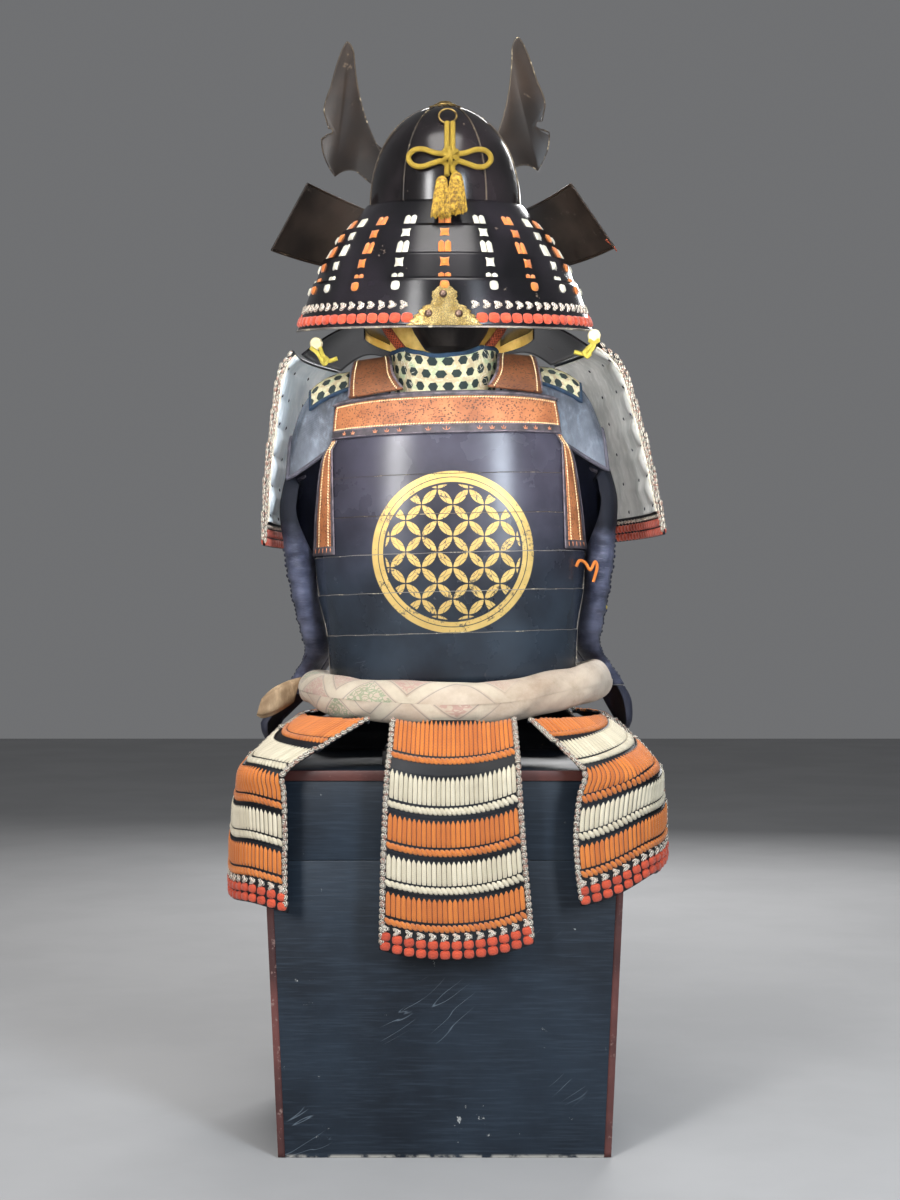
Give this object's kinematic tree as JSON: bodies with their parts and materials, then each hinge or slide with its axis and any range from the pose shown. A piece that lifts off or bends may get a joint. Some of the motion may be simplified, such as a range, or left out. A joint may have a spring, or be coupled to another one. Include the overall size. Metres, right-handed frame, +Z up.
{
  "type": "samurai armour on its chest and stand",
  "caption": "Samurai armour seen as worn on a stand: lacquered helmet with a flared neck guard, riveted cuirass, cloth sleeves, sash and laced skirts, on its storage chest.",
  "frame": {"origin": "middle of the chest's foot, on the surface it stands on", "axes": "+Z up; -Y is the armour's back, the side pictured; +X is its right-hand side as seen from behind"},
  "size_m": [0.6108, 0.5261, 1.6165],
  "materials": {
    "chest": "worn satin lacquer",
    "moulding": "worn red-brown lacquer",
    "stand": "plain dark stain",
    "lacquer": "glossy black lacquer",
    "horn": "dark brown lacquer",
    "gilt": "rubbed gilt",
    "gold_cord": "plaited silk",
    "orange_silk": "silk braid lacing",
    "red_silk": "silk braid",
    "leather": "tanned, printed",
    "quilt": "quilted, dyed pattern",
    "blue_cloth": "grey-blue cloth",
    "satin": "satin",
    "navy_cloth": "dark cloth",
    "pale_cloth": "plain pale cloth",
    "brocade": "silk brocade",
    "ivory": "polished"
  },
  "bodies": {
    "root": {"chest_body": "chest", "chest_lid": "chest", "lid_moulding": "moulding", "stand_base": "stand", "stand_post": "stand", "stand_bar": "stand", "helmet_bowl": "lacquer", "visor": "lacquer", "neck_lame_1": "lacquer", "neck_lame_2": "lacquer", "neck_lame_3": "lacquer", "neck_lame_4": "lacquer", "turnback_left": "lacquer", "turnback_right": "lacquer", "horn_bracket": "lacquer", "cuirass_back": "lacquer", "cuirass_front": "lacquer", "horn_left": "horn", "horn_right": "horn", "crown_fitting": "gilt", "back_fitting": "gilt", "cord_ring": "gilt", "bow_cord_left": "gold_cord", "bow_cord_right": "gold_cord", "bow_knot": "gold_cord", "tassel_left": "gold_cord", "tassel_right": "gold_cord", "side_tie": "orange_silk", "shoulder_guard_left": "orange_silk", "shoulder_guard_right": "orange_silk", "tasset_1": "orange_silk", "tasset_2": "orange_silk", "tasset_3": "orange_silk", "tasset_4": "orange_silk", "tasset_5": "orange_silk", "tasset_6": "orange_silk", "tasset_7": "orange_silk", "chin_cord_left": "red_silk", "chin_cord_right": "red_silk", "back_band": "leather", "armhole_band_left": "leather", "armhole_band_right": "leather", "shoulder_strap_left": "leather", "shoulder_strap_right": "leather", "collar": "quilt", "shoulder_pad_left": "quilt", "shoulder_pad_right": "quilt", "vest_left": "blue_cloth", "vest_right": "blue_cloth", "sleeve_left": "satin", "sleeve_right": "satin", "hand_cover_left": "navy_cloth", "hand_cover_right": "navy_cloth", "guard_lining_left": "pale_cloth", "guard_lining_right": "pale_cloth", "sash_back": "brocade", "sash_front": "brocade", "sash_end": "brocade", "toggle_left": "ivory", "toggle_right": "ivory"}
  },
  "joints": []
}
